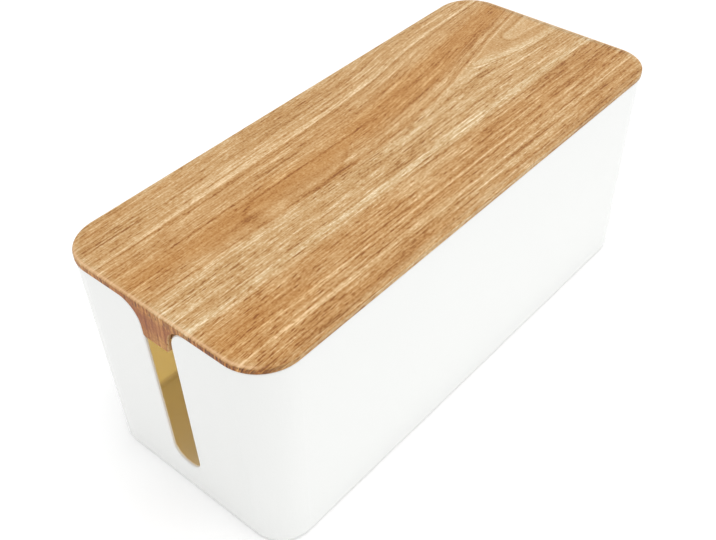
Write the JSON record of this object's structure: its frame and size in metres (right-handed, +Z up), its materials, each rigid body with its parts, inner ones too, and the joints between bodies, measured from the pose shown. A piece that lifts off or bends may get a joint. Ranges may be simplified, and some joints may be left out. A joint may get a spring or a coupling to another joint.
{
  "type": "cable organizer box",
  "caption": "Long white tub with a wood-look lift-off lid; a flared slot in each end lets cords out, so a power strip and slack cable stay hidden.",
  "frame": {"origin": "on the resting surface, under the middle of the box", "axes": "+X along the length, +Y across to the rear long side, +Z up; the end seen in the picture is at -X"},
  "size_m": [0.32, 0.137, 0.1297],
  "materials": {
    "tub": "glossy white moulded plastic, slightly translucent",
    "lid": "satin moulded plastic with a printed light oak grain",
    "foot": "matt grey rubber"
  },
  "bodies": {
    "tub": {"tub": "tub", "foot_front_left": "foot", "foot_rear_left": "foot", "foot_front_right": "foot", "foot_rear_right": "foot"},
    "lid": {"lid": "lid"}
  },
  "joints": [
    {"name": "lid_lift", "type": "slide", "parent": "tub", "child": "lid", "axis": [0, 0, 1], "range_m": [0, 0.15]}
  ]
}
